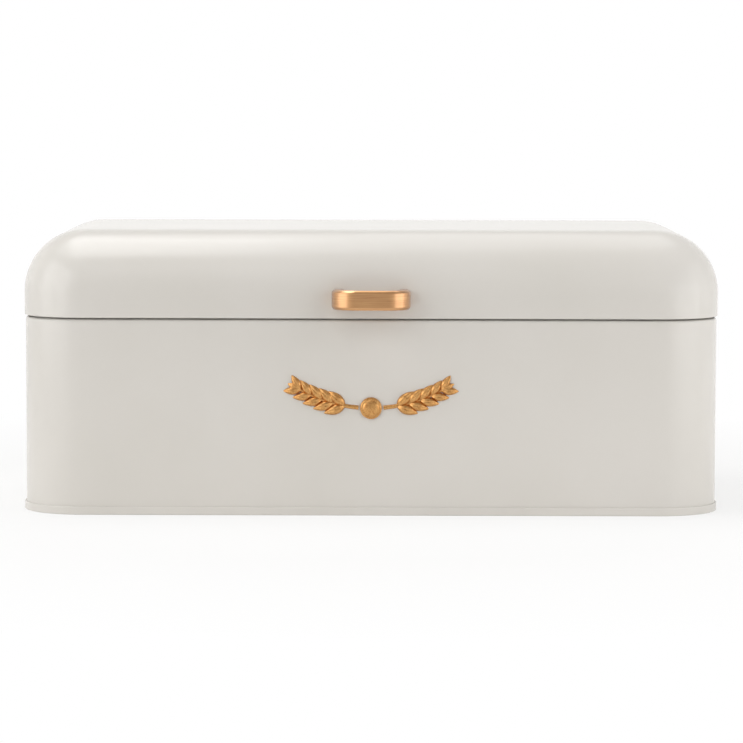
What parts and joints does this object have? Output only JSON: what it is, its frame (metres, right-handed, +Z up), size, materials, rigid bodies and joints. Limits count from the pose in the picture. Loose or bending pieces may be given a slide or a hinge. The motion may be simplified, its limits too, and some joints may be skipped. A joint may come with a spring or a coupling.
{
  "type": "bread box",
  "caption": "Sheet-steel bread box with rounded corners, a hinged lid with a brass bow handle, a brass wheat ornament, a folded base seam and air holes in the back.",
  "frame": {"origin": "on the table, under the middle of the whole box with its handle and hinges", "axes": "+X to the right along the hinge line, +Y to the back where the hinges are, +Z up; the front with the handle faces -Y"},
  "size_m": [0.4208, 0.25, 0.1698],
  "materials": {
    "powder_coat": "satin powder coat",
    "satin_brass": "satin brushed warm brass plate",
    "zinc_plate": "bright zinc plate",
    "spring_steel": "black phosphate"
  },
  "bodies": {
    "body": {"body_wrap": "powder_coat", "bottom_pan": "powder_coat", "emblem_left_ear": "satin_brass", "emblem_right_ear": "satin_brass", "emblem_boss": "satin_brass", "emblem_push_nuts": "spring_steel", "hinge_left_body_leaf": "zinc_plate", "hinge_left_pin": "zinc_plate", "hinge_left_body_rivets": "zinc_plate", "hinge_right_body_leaf": "zinc_plate", "hinge_right_pin": "zinc_plate", "hinge_right_body_rivets": "zinc_plate"},
    "lid": {"lid_shell": "powder_coat", "handle": "satin_brass", "handle_screws": "zinc_plate", "handle_washers": "zinc_plate", "hinge_left_lid_leaf": "zinc_plate", "hinge_left_lid_rivets": "zinc_plate", "hinge_right_lid_leaf": "zinc_plate", "hinge_right_lid_rivets": "zinc_plate"}
  },
  "joints": [
    {"name": "lid_hinge", "type": "hinge", "parent": "body", "child": "lid", "pos_m": [0, 0.11973, 0.1175], "axis": [-1, 0, 0], "range_deg": [0, 100]}
  ]
}
